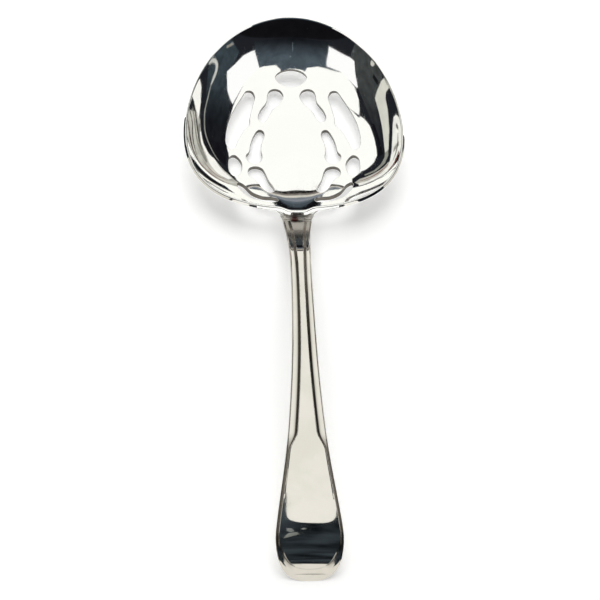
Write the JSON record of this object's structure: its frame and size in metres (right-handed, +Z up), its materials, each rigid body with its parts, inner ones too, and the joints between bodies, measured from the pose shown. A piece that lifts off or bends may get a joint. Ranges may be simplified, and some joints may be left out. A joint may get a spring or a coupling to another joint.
{
  "type": "pierced berry spoon",
  "caption": "Serving spoon with a wide, shallow, pierced bowl and a narrow panelled handle that spreads into a plain, turned-down end.",
  "frame": {"origin": "middle of the bounding box's bottom face, on the surface that the spoon lies on", "axes": "+Y from the tip of the handle to the tip of the bowl, +X to the right as seen from the handle with the hollow up, +Z up out of the hollow"},
  "size_m": [0.0826, 0.229, 0.0209],
  "materials": {
    "polished_silver": "mirror polished, with fine wear scratches",
    "silver_solder": "polished, slightly duller than the metal beside it"
  },
  "bodies": {
    "root": {"bowl": "polished_silver", "solder_seam": "silver_solder", "handle": "polished_silver"}
  },
  "joints": []
}
